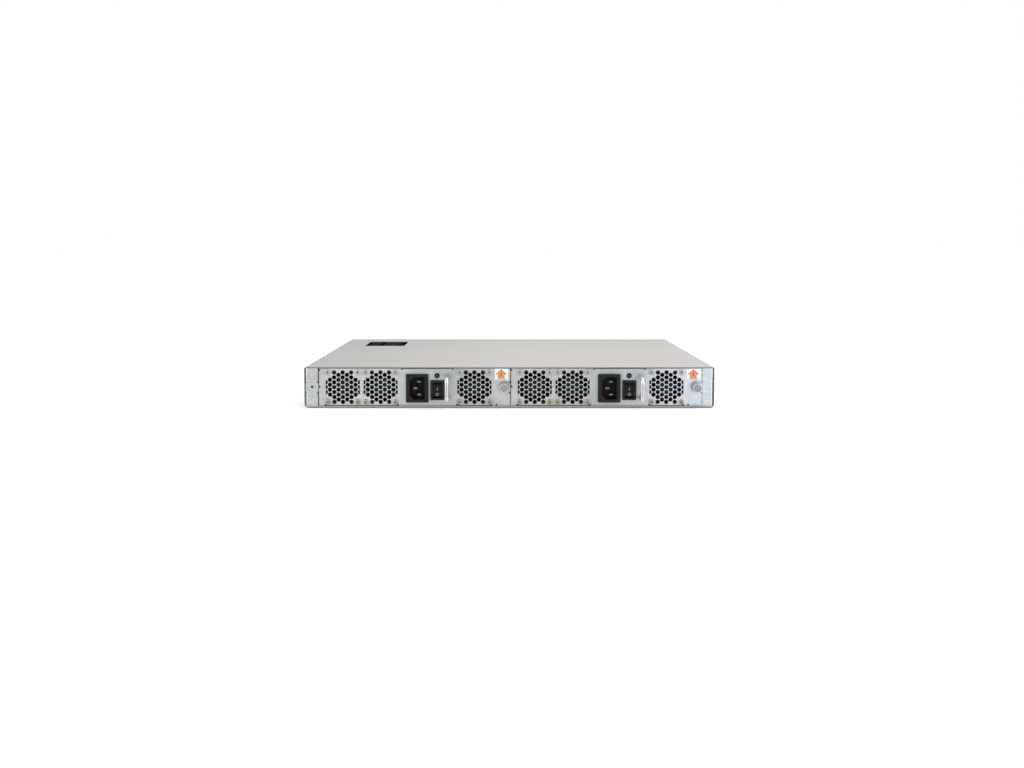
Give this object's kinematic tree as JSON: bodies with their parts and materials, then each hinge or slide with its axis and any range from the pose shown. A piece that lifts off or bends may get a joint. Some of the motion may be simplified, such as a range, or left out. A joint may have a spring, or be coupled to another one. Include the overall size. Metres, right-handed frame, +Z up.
{
  "type": "rackmount network switch",
  "caption": "One-unit rackmount network switch with removable power-supply and fan modules, port cages at the far end and a plain top cover.",
  "frame": {"origin": "centre of the chassis's bottom face", "axes": "+X to the right seen from the power-supply face, +Y from that face to the port face, +Z up"},
  "size_m": [0.4396, 0.4762, 0.0432],
  "materials": {
    "cover_paint": "satin texture",
    "zinc_sheet": "satin",
    "module_sheet": "satin",
    "bright_steel": "polished",
    "screw_zinc": "satin",
    "nickel": "satin",
    "cage_steel": "satin",
    "brass": "satin",
    "black_plastic": "matte",
    "rocker_plastic": "gloss",
    "fan_plastic": "matte",
    "lens_green": "gloss",
    "clear_plastic": "clear",
    "board_green": "solder mask",
    "chip_black": "matte",
    "heatsink_alloy": "satin",
    "ferrite": "matte",
    "capacitor_sleeve": "gloss"
  },
  "bodies": {
    "chassis": {"base_tray": "zinc_sheet", "top_cover": "cover_paint", "port_panel": "zinc_sheet", "left_post": "zinc_sheet", "centre_post": "zinc_sheet", "right_post": "zinc_sheet", "bay_divider": "zinc_sheet", "mid_wall": "zinc_sheet", "main_board": "board_green", "board_standoffs": "brass", "board_chips": "chip_black", "switch_heatsink": "heatsink_alloy", "sfp_cages_1": "cage_steel", "sfp_cages_2": "cage_steel", "sfp_cages_3": "cage_steel", "light_pipes": "clear_plastic", "network_jacks": "cage_steel", "usb_port": "cage_steel", "power_sockets": "black_plastic", "cover_screws": "screw_zinc"},
    "left_psu": {"left_psu_faceplate": "module_sheet", "left_psu_case": "module_sheet", "left_psu_lid": "module_sheet", "left_psu_inlet": "black_plastic", "left_psu_inlet_pins": "nickel", "left_psu_switch_frame": "black_plastic", "left_psu_status_led": "lens_green", "left_psu_handle": "bright_steel", "left_psu_fan_frames": "fan_plastic", "left_psu_fan_screws": "screw_zinc", "left_psu_screw_ferrule": "bright_steel", "left_psu_power_board": "board_green", "left_psu_transformer": "ferrite", "left_psu_capacitors": "capacitor_sleeve"},
    "left_rocker": {"left_psu_rocker": "rocker_plastic"},
    "left_fan_1": {"left_psu_fan_rotor_1": "fan_plastic"},
    "left_fan_2": {"left_psu_fan_rotor_2": "fan_plastic"},
    "left_fan_3": {"left_psu_fan_rotor_3": "fan_plastic"},
    "left_screw_ring": {"left_psu_screw_retainer": "bright_steel"},
    "left_screw": {"left_psu_captive_screw": "bright_steel"},
    "right_psu": {"right_psu_faceplate": "module_sheet", "right_psu_case": "module_sheet", "right_psu_lid": "module_sheet", "right_psu_inlet": "black_plastic", "right_psu_inlet_pins": "nickel", "right_psu_switch_frame": "black_plastic", "right_psu_status_led": "lens_green", "right_psu_handle": "bright_steel", "right_psu_fan_frames": "fan_plastic", "right_psu_fan_screws": "screw_zinc", "right_psu_screw_ferrule": "bright_steel", "right_psu_power_board": "board_green", "right_psu_transformer": "ferrite", "right_psu_capacitors": "capacitor_sleeve"},
    "right_rocker": {"right_psu_rocker": "rocker_plastic"},
    "right_fan_1": {"right_psu_fan_rotor_1": "fan_plastic"},
    "right_fan_2": {"right_psu_fan_rotor_2": "fan_plastic"},
    "right_fan_3": {"right_psu_fan_rotor_3": "fan_plastic"},
    "right_screw_ring": {"right_psu_screw_retainer": "bright_steel"},
    "right_screw": {"right_psu_captive_screw": "bright_steel"}
  },
  "joints": [
    {"name": "left_psu_slide", "type": "slide", "parent": "chassis", "child": "left_psu", "axis": [0, -1, 0], "range_m": [0, 0.215]},
    {"name": "left_rocker_tilt", "type": "hinge", "parent": "left_psu", "child": "left_rocker", "pos_m": [-0.07715, -0.2206, 0.0181], "axis": [1, 0, 0], "range_deg": [0, 20]},
    {"name": "left_fan_1_spin", "type": "hinge", "parent": "left_psu", "child": "left_fan_1", "pos_m": [-0.1785, -0.2066, 0.0217], "axis": [0, 1, 0], "continuous": true},
    {"name": "left_fan_2_spin", "type": "hinge", "parent": "left_psu", "child": "left_fan_2", "pos_m": [-0.138, -0.2066, 0.0217], "axis": [0, 1, 0], "continuous": true},
    {"name": "left_fan_3_spin", "type": "hinge", "parent": "left_psu", "child": "left_fan_3", "pos_m": [-0.0374, -0.2066, 0.0217], "axis": [0, 1, 0], "continuous": true},
    {"name": "left_screw_travel", "type": "slide", "parent": "left_psu", "child": "left_screw_ring", "axis": [0, -1, 0], "range_m": [0, 0.0033]},
    {"name": "left_screw_turn", "type": "hinge", "parent": "left_screw_ring", "child": "left_screw", "pos_m": [-0.0057, -0.2216, 0.022], "axis": [0, -1, 0], "range_deg": [0, 1986]},
    {"name": "right_psu_slide", "type": "slide", "parent": "chassis", "child": "right_psu", "axis": [0, -1, 0], "range_m": [0, 0.215]},
    {"name": "right_rocker_tilt", "type": "hinge", "parent": "right_psu", "child": "right_rocker", "pos_m": [0.12865, -0.2206, 0.0181], "axis": [1, 0, 0], "range_deg": [0, 20]},
    {"name": "right_fan_1_spin", "type": "hinge", "parent": "right_psu", "child": "right_fan_1", "pos_m": [0.0273, -0.2066, 0.0217], "axis": [0, 1, 0], "continuous": true},
    {"name": "right_fan_2_spin", "type": "hinge", "parent": "right_psu", "child": "right_fan_2", "pos_m": [0.0678, -0.2066, 0.0217], "axis": [0, 1, 0], "continuous": true},
    {"name": "right_fan_3_spin", "type": "hinge", "parent": "right_psu", "child": "right_fan_3", "pos_m": [0.1684, -0.2066, 0.0217], "axis": [0, 1, 0], "continuous": true},
    {"name": "right_screw_travel", "type": "slide", "parent": "right_psu", "child": "right_screw_ring", "axis": [0, -1, 0], "range_m": [0, 0.0033]},
    {"name": "right_screw_turn", "type": "hinge", "parent": "right_screw_ring", "child": "right_screw", "pos_m": [0.2001, -0.2216, 0.022], "axis": [0, -1, 0], "range_deg": [0, 1986]}
  ],
  "couplings": [
    {"joint": "left_screw_turn", "follows": "left_screw_travel", "rad_per_m": 10472},
    {"joint": "right_screw_turn", "follows": "right_screw_travel", "rad_per_m": 10472}
  ]
}
